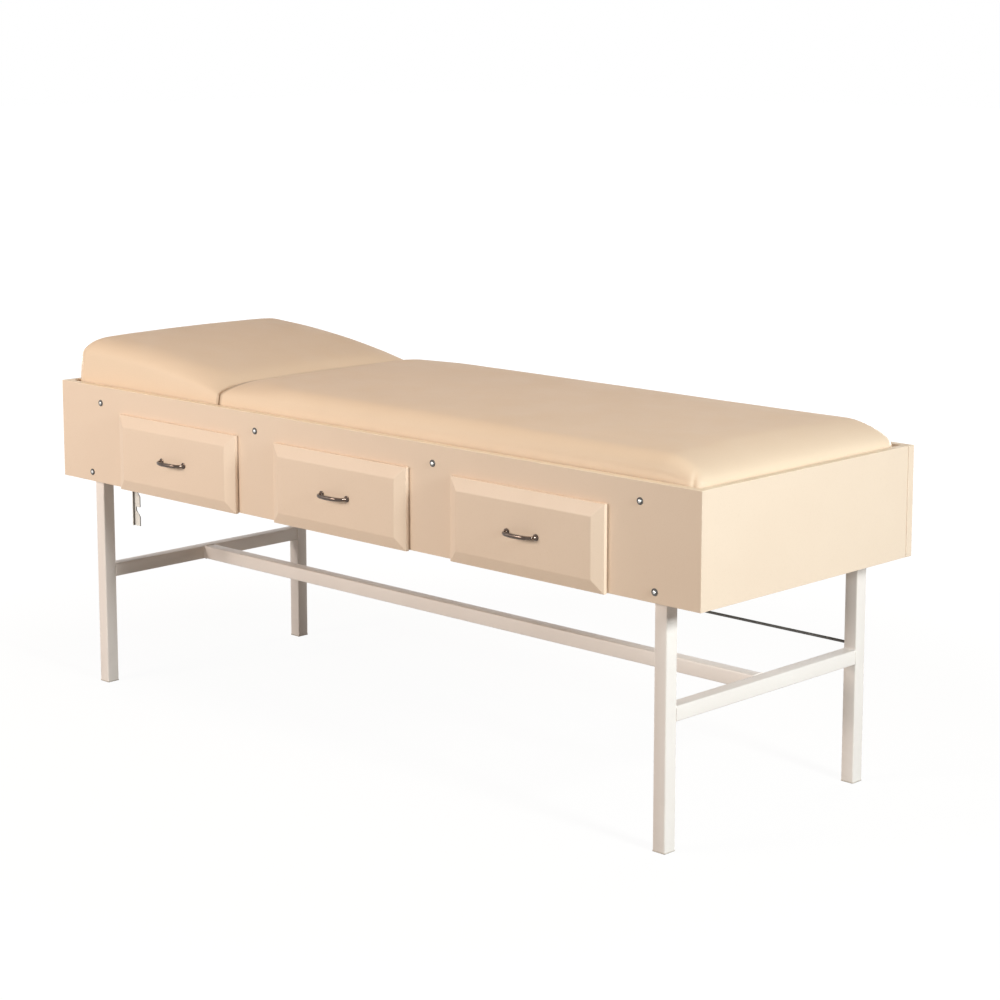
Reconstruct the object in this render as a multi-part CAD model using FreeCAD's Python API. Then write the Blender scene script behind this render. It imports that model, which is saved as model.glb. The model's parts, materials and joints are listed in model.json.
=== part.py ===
"""Examination table with three drawers and a tilting head section.

Millimetres, +Z up. X runs along the table from the head end (-X) to the foot end (+X), and the drawers open
towards -Y. Pieces are drawn about the middle of the case; shift_y then puts the origin on the floor in the
middle of the whole table, handles included.
"""
import FreeCAD, Part
import math
import os

V = FreeCAD.Vector

# Case
case_length = 1900.0
case_width = 650.0
case_height = 222.0
case_bottom_z = 476.0
panel_t = 18.0
end_recess = 1.0            # end panels stand this far inside the ends of the long panels

# Stand
tube = 30.0
tube_wall = 1.5
leg_inset = 93.0            # case end to the outer face of a leg
cross_bar_z = 247.0         # underside of the cross bars and of the long stretcher
tie_rod_r = 3.0
tie_rod_z = 285.0
plug_lip = 3.0
plug_depth = 20.0
plug_clearance = 0.2

# Boards and upper frame
board_t = 18.0
board_sink = 5.0            # top of the boards below the rim of the case
board_gap = 4.0             # boards to the case, all round

# Upholstery
pad_gap = 2.0               # pads to the long panels
pad_end_gap = 3.0           # pads to the end panels, also while the head pad swings
pad_height = 52.0           # board to the edge of the main pad's top
pad_side = 26.0             # upright part of the main pad's sides
pad_crown = 4.0
pad_draw_in = 3.0           # how far the long sides pull in between the corners
pad_corner_r = 32.0
pad_roll = 28.0             # width of the rolled edge on the long sides
end_roll = 60.0             # length of the rolled edge at the head and foot ends
joint_roll = 90.0           # width of the rolled edge at the joint's corners
joint_fade = 120.0          # length over which that corner roll runs out
joint_fall = 90.0           # length over which the crown falls to the joint
head_rise = 62.0            # how much higher the head pad is at the head end than at the joint
head_low = 45.0             # board to the head pad's crown at the joint
head_side_low = 24.0        # upright part of the head pad's sides at the joint
head_side_high = 72.0       # and at the head end
head_end_roll = 34.0        # length of the head pad's rolled edge at the joint
pad_clearance = 0.4         # between the two pads at the joint
pad_stations = 6            # outlines along the plain part of a pad
roll_stations = 5           # outlines along the head pad's roll at the joint
end_stations = 6            # outlines along a rolled end
end_fullness = 0.05         # share of the rolled edge's height left at a rolled end
joint_fullness = 0.15       # and at the joint

# Head section hinge
head_length = 538.0         # head end of the case to the joint face of the main pad
joint_r = 23.0              # rounded top edge of the main pad, centred on the tilt axis
board_joint_gap = 0.5       # each board to the joint
hinge_y = 200.0
plate_t = 3.0
pin_r = 4.0
pin_head_r = 6.5
pin_head_h = 2.0
pin_fit = 0.08              # radial clearance of every pin and rod in its hole
plate_gap = 0.4
ear_r = 7.5
ear_foot = 40.0
ear_lead = 16.0             # ear's foot before the pin
hinge_foot_w = 20.0
arm_foot = 46.0
arm_ramp = 15.0             # sloped start of an arm
arm_setback = 12.0          # arm's foot to the joint
arm_h = 14.0                # arm above the head board, up to the joint
slot_margin = 2.0

# Ratchet struts
strut_side_gap = 27.0       # middle of a strut's web to the rails beside it
strut_inset = 172.5         # head end of the case to the middle of a strut's web and its pivot
strut_pivot_drop = 15.0     # pivot below the head board
strut_w = 21.0
strut_t = 2.5
strut_flange = 7.5
strut_flange_drop = 22.0    # top of the flange below the pivot
strut_length = 290.0        # pivot to the lower end
notch_count = 5
notch_first = 58.0          # pivot to the first notch
notch_pitch = 47.0
notch_depth = 13.6
notch_wall = 9.0
strut_rod_r = 4.0
strut_rod_over = 10.0       # rod past a strut
bracket_step = 13.5         # middle of a bracket's plate to the middle of its strut
bracket_foot = 30.0
bracket_foot_w = 20.0
bracket_r = 9.0
catch_r = 4.0
catch_gap = 2.0             # notch tips to the catch rod at rest
catch_rise = 5.0            # middle of the catch rod above the underside of the rails

# Drawers
drawer_end = 223.0          # case end to the nearest front
front_w = 402.0
front_h = 170.0
front_drop = 2.0            # fronts hang below the case by this much
front_t = 18.0
front_edge_t = 8.0          # straight edge of a front before the bevel
front_bevel = 25.0
front_ease = 1.0            # broken edges of a front
front_gap = 0.5             # front to the panel
front_overlap = 15.0        # front past the opening
opening_base = 24.0         # panel left below an opening
opening_h = 130.0
box_lift = 8.0              # box above the lower edge of the opening
box_h = 110.0
box_depth = 480.0
box_t = 12.0
bottom_t = 4.0
bottom_rise = 8.0
groove_depth = 6.0
groove_fit = 0.15

# Drawer slides
slide_t = 12.7
slide_h = 45.0
slide_sheet = 1.2
slide_run = 0.5             # running gap between members
slide_length = 450.0
slide_setback = 1.0         # behind the front panel
slide_rise = 14.0           # lower edge of the slides above the box's lower edge

# Handles
handle_pitch = 76.0
handle_reach = 25.0
handle_bar_t = 5.0
handle_bar_h = 8.6
handle_end_h = 5.4
handle_foot_r = 6.4
handle_neck_r = 3.4
handle_foot_h = 4.0
handle_bow = 2.8            # how square the bow is
handle_stations = 8
handle_sides = 12           # facets round the bar
handle_step = 0.01          # step used to find the bow's direction

# Corner brackets inside the case
angle_w = 35.0
angle_t = 2.5
angle_h = 30.0
angle_low = 50.0            # lower brackets above the case's lower edge
angle_pitch = 70.0

# Cutting shapes
cut_past = 1.0              # past the faces they cut

# Worked out from the sizes above
half_l = case_length / 2
half_w = case_width / 2
case_top_z = case_bottom_z + case_height
inner_y = half_w - panel_t
end_inner_x = half_l - end_recess - panel_t
board_top_z = case_top_z - board_sink
board_bottom_z = board_top_z - board_t
rail_z = board_bottom_z - tube
leg_x = half_l - leg_inset - tube / 2
leg_y = inner_y - tube / 2
rail_inner_y = inner_y - tube
pad_w = inner_y - pad_gap
pad_end_x = end_inner_x - pad_end_gap
seam_x = -half_l + head_length
axis_x = seam_x + joint_r
axis_z = board_top_z + pad_height - joint_r
pivot_z = board_bottom_z - strut_pivot_drop
strut_x = -half_l + strut_inset
strut_y = rail_inner_y - strut_side_gap
bracket_y = strut_y - bracket_step
catch_x = strut_x + strut_w / 2 + catch_gap + catch_r
catch_z = rail_z + catch_rise
hinge_rail_x = seam_x + board_joint_gap + tube / 2
mid_rail_x = (hinge_rail_x + leg_x) / 2
drawer_pitch = half_l - drawer_end - front_w / 2
opening_w = front_w - 2 * front_overlap
opening_z = case_bottom_z + opening_base
box_w = opening_w - 2 * slide_t
box_z = opening_z + box_lift
front_back_y = -half_w - front_gap
front_z = case_bottom_z - front_drop
handle_z = front_z + front_h / 2
slide_y = -inner_y + slide_setback
slide_z = box_z + slide_rise
drawer_names = ("left", "middle", "right")
drawer_centres = (-drawer_pitch, 0.0, drawer_pitch)
front_reach = front_gap + front_t + handle_reach
shift_y = front_reach / 2

pieces = {}


def keep(name, *solids):
    """Add solids to the node called name."""
    pieces.setdefault(name, []).extend(solids)


def block(x0, x1, y0, y1, z0, z1):
    """Box between two corners."""
    return Part.makeBox(x1 - x0, y1 - y0, z1 - z0, V(x0, y0, z0))


def rod(radius, length, start, direction):
    """Round bar from a start point."""
    return Part.makeCylinder(radius, length, start, direction)


def mirror_y(shape):
    """The same piece on the other side of the long centre plane."""
    return shape.mirror(V(0, 0, 0), V(0, 1, 0))


def square_tube(x0, x1, y0, y1, z0, z1, axis):
    """Square tube in a box, open at both ends along axis 'x', 'y' or 'z'."""
    w = tube_wall
    wx = 0 if axis == "x" else w
    wy = 0 if axis == "y" else w
    wz = 0 if axis == "z" else w
    outer = block(x0, x1, y0, y1, z0, z1)
    return outer.cut(block(x0 + wx, x1 - wx, y0 + wy, y1 - wy, z0 + wz, z1 - wz))


def prism_xz(points, y0, y1):
    """Straight-edged outline in the XZ plane, as (x, z) points, pulled from y0 to y1."""
    outline = Part.makePolygon([V(x, y0, z) for x, z in points + points[:1]])
    return Part.Face(outline).extrude(V(0, y1 - y0, 0))


def build_stand():
    """Legs with plugs, cross bars, long stretcher and rear tie rod."""
    inner = tube - 2 * tube_wall - 2 * plug_clearance
    for end, x in (("left", -leg_x), ("right", leg_x)):
        for side, y in (("front", -leg_y), ("rear", leg_y)):
            h = tube / 2
            leg = square_tube(x - h, x + h, y - h, y + h, plug_lip, rail_z, "z")
            keep(side + "_" + end + "_leg", leg)
            lip = block(x - h, x + h, y - h, y + h, 0, plug_lip)
            stub = block(x - inner / 2, x + inner / 2, y - inner / 2, y + inner / 2, plug_lip, plug_depth)
            keep("foot_plugs", lip.fuse(stub).removeSplitter())
    for name, x in (("head_cross_bar", -leg_x), ("foot_cross_bar", leg_x)):
        bar = square_tube(x - tube / 2, x + tube / 2, -rail_inner_y, rail_inner_y,
                          cross_bar_z, cross_bar_z + tube, "y")
        keep(name, bar)
    reach = leg_x - tube / 2
    keep("long_stretcher", square_tube(-reach, reach, -tube / 2, tube / 2,
                                       cross_bar_z, cross_bar_z + tube, "x"))
    keep("rear_tie_rod", rod(tie_rod_r, 2 * reach, V(-reach, leg_y, tie_rod_z), V(1, 0, 0)))


def build_upper_frame():
    """Rails that carry the boards and hold the panels."""
    front = square_tube(-end_inner_x, end_inner_x, -inner_y, -rail_inner_y, rail_z, rail_z + tube, "x")
    keep("front_top_rail", front)
    keep("rear_top_rail", mirror_y(front))
    places = (("head_end_rail", -leg_x), ("foot_end_rail", leg_x),
              ("hinge_cross_rail", hinge_rail_x), ("mid_cross_rail", mid_rail_x))
    for name, x in places:
        rail = square_tube(x - tube / 2, x + tube / 2, -rail_inner_y, rail_inner_y,
                           rail_z, rail_z + tube, "y")
        keep(name, rail)
    keep("catch_rod", rod(catch_r, 2 * rail_inner_y, V(catch_x, -rail_inner_y, catch_z), V(0, 1, 0)))


def build_case():
    """Four panels, their corner brackets, and the dividers that carry the drawer slides."""
    front = block(-half_l, half_l, -half_w, -inner_y, case_bottom_z, case_top_z)
    rear = mirror_y(front)
    for x in drawer_centres:
        half = opening_w / 2
        gap = block(x - half, x + half, -half_w, -inner_y, opening_z, opening_z + opening_h)
        front = front.cut(gap)
    keep("front_panel", front)
    keep("rear_panel", rear)
    end = block(end_inner_x, end_inner_x + panel_t, -inner_y, inner_y, case_bottom_z, case_top_z)
    keep("foot_end_panel", end)
    keep("head_end_panel", end.mirror(V(0, 0, 0), V(1, 0, 0)))
    for level in range(2):
        z = case_bottom_z + angle_low + level * angle_pitch
        upright = block(end_inner_x - angle_t, end_inner_x, inner_y - angle_w, inner_y, z, z + angle_h)
        along = block(end_inner_x - angle_w, end_inner_x, inner_y - angle_t, inner_y, z, z + angle_h)
        bracket = upright.fuse(along).removeSplitter()
        other = bracket.mirror(V(0, 0, 0), V(1, 0, 0))
        keep("corner_brackets", bracket, other, mirror_y(bracket), mirror_y(other))
    for x in drawer_centres:
        for side in (-1, 1):
            inner = x + side * opening_w / 2
            outer = inner + side * panel_t
            board = block(min(inner, outer), max(inner, outer), -inner_y, inner_y, opening_z, rail_z)
            keep("bay_dividers", board)


def bevelled_front(x):
    """Overlay drawer front with a raised field and bevelled margins."""
    def outline(margin, y):
        x0 = x - front_w / 2 + margin
        x1 = x + front_w / 2 - margin
        z0 = front_z + margin
        z1 = front_z + front_h - margin
        return Part.makePolygon([V(x0, y, z0), V(x1, y, z0), V(x1, y, z1), V(x0, y, z1), V(x0, y, z0)])
    edge_y = front_back_y - front_edge_t
    face_y = front_back_y - front_t
    slab = block(x - front_w / 2, x + front_w / 2, edge_y, front_back_y, front_z, front_z + front_h)
    raised = Part.makeLoft([outline(0, edge_y), outline(front_bevel, face_y)], True, True)
    front = slab.fuse(raised).removeSplitter()
    field = [e for e in front.Edges if e.BoundBox.YMax < front_back_y - front_t + front_ease / 10]
    return front.makeChamfer(front_ease, field)


def bow_handle(x):
    """Bow pull: a faceted oval bar along a squared bow, flared to a foot at both ends."""
    face_y = front_back_y - front_t
    half = handle_pitch / 2
    depth = handle_reach - handle_bar_t / 2
    power = 2 / handle_bow

    def along(a):
        c = math.cos(a)
        s = math.sin(a)
        return V(math.copysign(half * abs(c) ** power, c), -math.copysign(depth * abs(s) ** power, s), 0)

    def oval(place, direction, tall, thick):
        angles = [2 * math.pi * i / handle_sides for i in range(handle_sides + 1)]
        ring = Part.makePolygon([V(tall * math.cos(a), thick * math.sin(a), 0) for a in angles])
        turn = FreeCAD.Rotation(V(0, 0, 1), V(0, 1, 0), direction, "XZY")
        ring.Placement = FreeCAD.Placement(V(x, face_y, handle_z) + place, turn)
        return ring
    out = V(0, -1, 0)
    sections = [oval(V(half, 0, 0), out, handle_foot_r, handle_foot_r)]
    sections.append(oval(V(half, -handle_foot_h, 0), out, handle_neck_r, handle_neck_r))
    for i in range(1, handle_stations):
        a = math.pi * i / handle_stations
        step = along(a + handle_step) - along(a - handle_step)
        tall = handle_end_h + (handle_bar_h - handle_end_h) * math.sin(a) ** 2
        sections.append(oval(along(a), step, tall / 2, handle_bar_t / 2))
    sections.append(oval(V(-half, -handle_foot_h, 0), -out, handle_neck_r, handle_neck_r))
    sections.append(oval(V(-half, 0, 0), -out, handle_foot_r, handle_foot_r))
    return Part.makeLoft(sections, True, True)


def slide_member(level, side, inner_x, length_y0):
    """One member of a drawer slide: 0 on the divider, 1 in the middle, 2 on the drawer.

    inner_x is the divider's face and side points from it to the drawer.
    """
    step = slide_sheet + slide_run
    z0 = slide_z + level * step
    z1 = slide_z + slide_h - level * step
    near = level * step
    far = slide_t - slide_run * (2 - level)
    a = inner_x + side * near
    b = inner_x + side * far
    y1 = length_y0 + slide_length
    outer = block(min(a, b), max(a, b), length_y0, y1, z0, z1)
    web = slide_sheet if level < 2 else 0
    lip = 0 if level < 2 else slide_sheet
    c = inner_x + side * (near + web)
    d = inner_x + side * (far - lip)
    hollow = block(min(c, d), max(c, d), length_y0, y1, z0 + slide_sheet, z1 - slide_sheet)
    return outer.cut(hollow)


def build_drawer(name, x):
    """One drawer: front, box, handle and the moving members of its two slides."""
    keep(name + "_drawer_front", bevelled_front(x))
    keep(name + "_drawer_handle", bow_handle(x))

    back_y = front_back_y + box_depth
    floor_z = box_z + bottom_rise
    half = box_w / 2
    inside = half - box_t
    into = groove_depth - groove_fit
    groove = block(x - inside - groove_depth, x + inside + groove_depth, front_back_y, back_y,
                   floor_z - groove_fit, floor_z + bottom_t + groove_fit)
    for side in (-1, 1):
        x0 = min(x + side * inside, x + side * half)
        board = block(x0, x0 + box_t, front_back_y, back_y, box_z, box_z + box_h)
        keep(name + "_drawer_sides", board.cut(groove))
    keep(name + "_drawer_bottom", block(x - inside - into, x + inside + into, front_back_y, back_y,
                                        floor_z, floor_z + bottom_t))
    keep(name + "_drawer_back", block(x - inside, x + inside, back_y - box_t, back_y,
                                      floor_z + bottom_t, box_z + box_h))
    for side in (-1, 1):
        face = x + side * opening_w / 2
        keep("slide_channels", slide_member(0, -side, face, slide_y))
        keep(name + "_slide_middles", slide_member(1, -side, face, slide_y))
        keep(name + "_slide_runners", slide_member(2, -side, face, slide_y))


def pad_section(x, half, roll, base_z, side_z, edge_z, crown_z):
    """Closed outline across a pad at x: flat base, upright sides, rolled edges, crowned top."""
    r = min(roll, half - 1)
    lift = edge_z - side_z
    bend = math.sqrt(0.5)
    low_l = V(x, -half, base_z)
    low_r = V(x, half, base_z)
    side_r = V(x, half, side_z)
    roll_r = V(x, half - r * (1 - bend), side_z + lift * bend)
    edge_r = V(x, half - r, edge_z)
    crown = V(x, 0, crown_z)
    edge_l = V(x, -half + r, edge_z)
    roll_l = V(x, -half + r * (1 - bend), side_z + lift * bend)
    side_l = V(x, -half, side_z)
    return Part.Wire([
        Part.LineSegment(low_l, low_r).toShape(),
        Part.LineSegment(low_r, side_r).toShape(),
        Part.Arc(side_r, roll_r, edge_r).toShape(),
        Part.Arc(edge_r, crown, edge_l).toShape(),
        Part.Arc(edge_l, roll_l, side_l).toShape(),
        Part.LineSegment(side_l, low_l).toShape(),
    ])


def end_distances():
    """Distances from a rolled end at which a pad's outline is drawn."""
    quarter = math.pi / 2
    return [end_roll * (1 - math.cos(quarter * i / end_stations)) for i in range(end_stations + 1)]


def end_shape(distance):
    """At a distance from a rolled end: how far the corner pulls the side in, and how full the roll is."""
    short = max(pad_corner_r - distance, 0)
    pull = pad_corner_r - math.sqrt(pad_corner_r ** 2 - short ** 2)
    u = min(distance / end_roll, 1)
    return pull, max(math.sqrt(1 - (1 - u) ** 2), end_fullness)


def drawn_in(x, x0, x1):
    """How far the long sides pull in at x, between the pad's ends at x0 and x1."""
    u = (2 * x - x0 - x1) / (x1 - x0)
    return pad_draw_in * (1 - min(u * u, 1))


def main_pad():
    """Long pad: rolled foot end, crowned top, and a rounded edge about the tilt axis at the joint."""
    start = seam_x - joint_r
    side_z = board_top_z + pad_side
    edge_z = board_top_z + pad_height
    span = pad_end_x - end_roll - seam_x
    stations = [start, seam_x]
    stations += [seam_x + joint_fade * k / 2 for k in (1, 2)]
    first = seam_x + joint_fade
    stations += [first + (span - joint_fade) * i / pad_stations for i in range(1, pad_stations)]
    stations += [pad_end_x - d for d in reversed(end_distances())]
    wires = []
    for x in stations:
        pull, full = end_shape(pad_end_x - x)
        half = pad_w - pull - drawn_in(x, seam_x, pad_end_x)
        near = max(1 - max(x - seam_x, 0) / joint_fade, 0)
        roll = pad_roll + (joint_roll - pad_roll) * near ** 2
        top = side_z + (edge_z - side_z) * full
        wires.append(pad_section(x, half, roll, board_top_z, side_z, top, top + pad_crown * full))
    body = Part.makeLoft(wires, True, True)
    bend = math.sqrt(0.5)
    high = edge_z + 2 * pad_crown
    far = pad_end_x + pad_end_gap
    outline = Part.Wire([
        Part.LineSegment(V(seam_x, -half_w, board_bottom_z), V(seam_x, -half_w, axis_z)).toShape(),
        Part.Arc(V(seam_x, -half_w, axis_z), V(axis_x - joint_r * bend, -half_w, axis_z + joint_r * bend),
                 V(axis_x, -half_w, edge_z)).toShape(),
        Part.LineSegment(V(axis_x, -half_w, edge_z), V(axis_x + joint_fall, -half_w, high)).toShape(),
        Part.LineSegment(V(axis_x + joint_fall, -half_w, high), V(far, -half_w, high)).toShape(),
        Part.LineSegment(V(far, -half_w, high), V(far, -half_w, board_bottom_z)).toShape(),
        Part.LineSegment(V(far, -half_w, board_bottom_z), V(seam_x, -half_w, board_bottom_z)).toShape(),
    ])
    return body.common(Part.Face(outline).extrude(V(0, case_width, 0)))


def head_pad():
    """Wedge pad of the head section: rises to a rolled head end, and rolls down to the joint."""
    face = seam_x - pad_clearance
    head_x = -pad_end_x
    run = face - head_x
    stations = [head_x + d for d in end_distances()]
    left = face - head_end_roll
    first = stations[-1]
    stations += [first + (left - first) * i / pad_stations for i in range(1, pad_stations + 1)]
    stations += [face - head_end_roll * math.cos(math.pi / 2 * i / roll_stations)
                 for i in range(1, roll_stations + 1)]
    wires = []
    for x in stations:
        t = (face - x) / run
        up = math.sin(math.pi / 2 * t)
        pull, full = end_shape(x - head_x)
        half = pad_w - pull - drawn_in(x, head_x, face)
        side = head_side_low + (head_side_high - head_side_low) * up
        crown = head_low + head_rise * up
        u = min((face - x) / head_end_roll, 1)
        joint = max(math.sqrt(1 - (1 - u) ** 2), joint_fullness)
        lift = (crown - pad_crown - side) * min(full, joint)
        near = max(1 - (face - x) / joint_fade, 0)
        roll = pad_roll + (joint_roll - pad_roll) * near ** 2
        side_z = board_top_z + side
        wires.append(pad_section(x, half, roll, board_top_z, side_z, side_z + lift,
                                 side_z + lift + pad_crown * min(full, joint)))
    return Part.makeLoft(wires, True, True)


def hinge_ear():
    """Fixed ear on the main board, holding the tilt pin."""
    z0 = board_top_z
    x0 = axis_x - ear_lead
    x1 = x0 + ear_foot
    foot = block(x0, x1, hinge_y + plate_t - hinge_foot_w, hinge_y + plate_t, z0, z0 + plate_t)
    web = prism_xz([(x0, z0), (x1, z0), (axis_x + ear_r, axis_z), (axis_x - ear_r, axis_z)],
                   hinge_y, hinge_y + plate_t)
    eye = rod(ear_r, plate_t, V(axis_x, hinge_y, axis_z), V(0, 1, 0))
    hole = rod(pin_r + pin_fit, plate_t, V(axis_x, hinge_y, axis_z), V(0, 1, 0))
    return foot.fuse([web, eye]).removeSplitter().cut(hole)


def hinge_arm():
    """Cranked arm from the head board to the tilt pin."""
    y0 = hinge_y + plate_t + plate_gap
    z0 = board_top_z
    x1 = seam_x - arm_setback
    x0 = x1 - arm_foot
    foot = block(x0, x1, y0, y0 + hinge_foot_w, z0, z0 + plate_t)
    bend = ear_r * math.sqrt(0.5)
    web = prism_xz([(x0, z0), (x1, z0), (axis_x, axis_z - ear_r), (axis_x - bend, axis_z + bend),
                    (seam_x, z0 + arm_h), (x0 + arm_ramp, z0 + arm_h), (x0, z0 + plate_t)],
                   y0, y0 + plate_t)
    eye = rod(ear_r, plate_t, V(axis_x, y0, axis_z), V(0, 1, 0))
    hole = rod(pin_r + pin_fit, plate_t, V(axis_x, y0, axis_z), V(0, 1, 0))
    return foot.fuse([web, eye]).removeSplitter().cut(hole)


def hinge_pin():
    """Headed pin through an ear and an arm."""
    y0 = hinge_y - plate_gap
    long = 2 * plate_t + 3 * plate_gap
    shank = rod(pin_r, long, V(axis_x, y0, axis_z), V(0, 1, 0))
    head = rod(pin_head_r, pin_head_h, V(axis_x, y0 - pin_head_h, axis_z), V(0, 1, 0))
    return shank.fuse(head).removeSplitter()


def build_top():
    """Boards, pads and the tilt hinges between the main and the head section."""
    board_w = inner_y - board_gap
    board_end = end_inner_x - board_gap
    for name, x0, x1 in (("main_board", seam_x + board_joint_gap, board_end),
                         ("head_board", -board_end, seam_x - board_joint_gap)):
        keep(name, block(x0, x1, -board_w, board_w, board_bottom_z, board_top_z))
    ear = hinge_ear()
    arm = hinge_arm()
    pin = hinge_pin()
    for name, piece in (("hinge_ears", ear), ("hinge_arms", arm), ("hinge_pins", pin)):
        keep(name, piece, mirror_y(piece))
    slot_top = axis_z + ear_r + slot_margin
    y0 = hinge_y + plate_t - hinge_foot_w - slot_margin
    y1 = hinge_y + 2 * plate_t + plate_gap + slot_margin
    main_slot = block(seam_x - slot_margin, axis_x - ear_lead + ear_foot + slot_margin, y0, y1,
                      board_top_z, slot_top)
    y2 = hinge_y + plate_t + plate_gap - slot_margin
    y3 = hinge_y + plate_t + plate_gap + hinge_foot_w + slot_margin
    head_slot = block(seam_x - arm_setback - arm_foot - slot_margin, seam_x + slot_margin, y2, y3,
                      board_top_z, board_top_z + arm_h + slot_margin)
    keep("main_cushion", main_pad().cut([main_slot, mirror_y(main_slot)]))
    keep("head_cushion", head_pad().cut([head_slot, mirror_y(head_slot)]))


def ratchet_strut():
    """Notched strut of L section that holds the head section up; the notches face the foot end."""
    x0 = strut_x - strut_w / 2
    x1 = strut_x + strut_w / 2
    y0 = strut_y - strut_t / 2
    low = pivot_z - strut_length
    web = block(x0, x1, y0, y0 + strut_t, low, pivot_z)
    eye = rod(strut_w / 2, strut_t, V(strut_x, y0, pivot_z), V(0, 1, 0))
    flange = block(x0, x0 + strut_t, y0, y0 + strut_flange, low, pivot_z - strut_flange_drop)
    strut = web.fuse([eye, flange]).removeSplitter()
    for i in range(notch_count):
        z = pivot_z - notch_first - i * notch_pitch
        deep = x1 - notch_depth
        past = x1 + cut_past
        ramp_z = z - notch_wall - notch_depth - cut_past
        notch = prism_xz([(past, z), (deep, z), (deep, z - notch_wall), (past, ramp_z)],
                         y0 - cut_past, y0 + strut_flange + cut_past)
        strut = strut.cut(notch)
    hole = rod(strut_rod_r + pin_fit, strut_t, V(strut_x, y0, pivot_z), V(0, 1, 0))
    return strut.cut(hole)


def strut_bracket():
    """Bracket under the head board that the struts' rod turns in."""
    y0 = bracket_y - plate_t / 2
    z1 = board_bottom_z
    half = bracket_foot / 2
    y1 = y0 + plate_t
    foot = block(strut_x - half, strut_x + half, y1 - bracket_foot_w, y1, z1 - plate_t, z1)
    web = prism_xz([(strut_x - half, z1), (strut_x - bracket_r, pivot_z), (strut_x + bracket_r, pivot_z),
                    (strut_x + half, z1)], y0, y1)
    eye = rod(bracket_r, plate_t, V(strut_x, y0, pivot_z), V(0, 1, 0))
    hole = rod(strut_rod_r + pin_fit, plate_t, V(strut_x, y0, pivot_z), V(0, 1, 0))
    return foot.fuse([web, eye]).removeSplitter().cut(hole)


def build_struts():
    """Two struts on one rod, and the brackets that carry the rod."""
    strut = ratchet_strut()
    keep("rear_strut", strut)
    keep("front_strut", mirror_y(strut))
    reach = strut_y + strut_t / 2 + strut_rod_over
    keep("strut_rod", rod(strut_rod_r, 2 * reach, V(strut_x, -reach, pivot_z), V(0, 1, 0)))
    bracket = strut_bracket()
    keep("strut_brackets", bracket, mirror_y(bracket))


def export():
    """Write each node, moved so that the origin is under the middle of the whole table."""
    os.makedirs("parts", exist_ok=True)
    for name, solids in pieces.items():
        shapes = []
        for solid in solids:
            moved = solid.copy()
            moved.translate(V(0, shift_y, 0))
            shapes += moved.Solids
        whole = shapes[0] if len(shapes) == 1 else Part.makeCompound(shapes)
        whole.exportStep("parts/" + name + ".step")


build_stand()
build_upper_frame()
build_case()
for drawer_name, drawer_x in zip(drawer_names, drawer_centres):
    build_drawer(drawer_name, drawer_x)
build_top()
build_struts()
export()
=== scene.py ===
import json
import math

import bmesh
import bpy
import numpy as np
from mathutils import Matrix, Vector


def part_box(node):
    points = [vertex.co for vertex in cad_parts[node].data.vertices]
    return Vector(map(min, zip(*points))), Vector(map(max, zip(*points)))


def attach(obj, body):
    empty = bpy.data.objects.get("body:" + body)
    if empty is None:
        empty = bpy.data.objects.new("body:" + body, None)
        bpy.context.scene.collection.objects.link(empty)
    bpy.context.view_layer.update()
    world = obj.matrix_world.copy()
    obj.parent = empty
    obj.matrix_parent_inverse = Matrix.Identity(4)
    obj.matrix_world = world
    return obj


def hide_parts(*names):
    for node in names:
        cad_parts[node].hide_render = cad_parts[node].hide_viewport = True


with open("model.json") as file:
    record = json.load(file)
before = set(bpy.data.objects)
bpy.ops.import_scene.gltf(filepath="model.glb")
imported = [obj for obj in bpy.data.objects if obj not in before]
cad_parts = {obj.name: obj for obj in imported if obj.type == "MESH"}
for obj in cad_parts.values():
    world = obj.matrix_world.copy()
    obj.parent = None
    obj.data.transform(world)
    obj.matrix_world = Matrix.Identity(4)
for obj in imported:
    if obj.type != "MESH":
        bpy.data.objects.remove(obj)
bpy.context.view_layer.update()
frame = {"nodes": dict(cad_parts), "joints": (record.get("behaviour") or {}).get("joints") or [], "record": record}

nodes = frame["nodes"]
scene = bpy.context.scene

# Places that come from the solids; the pads' own are rounded, since their simulation feels tiny changes
digits = 6
drawer_names = ("left", "middle", "right")
front_low, front_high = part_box("front_panel")
rear_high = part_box("rear_panel")[1]
cushion_low, cushion_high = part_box("main_cushion")
rail_low, rail_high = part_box("front_top_rail")
leg_low, leg_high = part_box("front_right_leg")
tilt = next(joint for joint in frame["joints"] if joint["name"] == "headrest_tilt")
axis_x, _, axis_z = tilt["pos_m"]
mid_y = (front_low.y + rear_high.y) / 2
board_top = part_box("main_board")[1].z
case_top = front_high.z
seam_x = round(cushion_low.x, digits)
pad_end_x = round(cushion_high.x, digits)
pad_half = round((cushion_high.y - cushion_low.y) / 2, digits)

# Both pads
pad_shrink = 0.0012      # built this much smaller, because they swell
pad_clearance = 0.0022   # gap at the seam
pad_crown = 0.006        # rise over the middle
pad_draw_in = 0.003      # how far the long sides pull in at mid length
pad_corner_r = 0.032     # corners seen from above
side_lean = 0.004        # how far the sides lean out at the base
joint_fade = 0.220       # length over which the shape at the seam passes into the rest

# Long pad; heights are above its board
joint_r = round(axis_x - seam_x, digits)
pad_height = round(axis_z + joint_r - board_top, digits)
pad_side = 0.020
pad_roll = 0.034         # width of the rolled edge
seam_side = 0.026        # the same two at the seam
seam_roll = 0.135
seam_ease = 0.0002       # how far past the seam the pad starts
foot_side = 0.009
foot_slope = 0.090       # length of the sloped foot end
slope_top_power = 1.2
slope_foot_power = 0.62
joint_fall = 0.100       # length of the dip beside the joint
joint_drop = 0.010

# Wedge pad of the head section
head_low = 0.050
head_rise = 0.0585
head_side_low = 0.024
head_side_high = 0.066
head_roll = 0.058
head_seam_roll = 0.125
head_seam_end_roll = 0.100
head_outer_end_roll = 0.050

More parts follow.
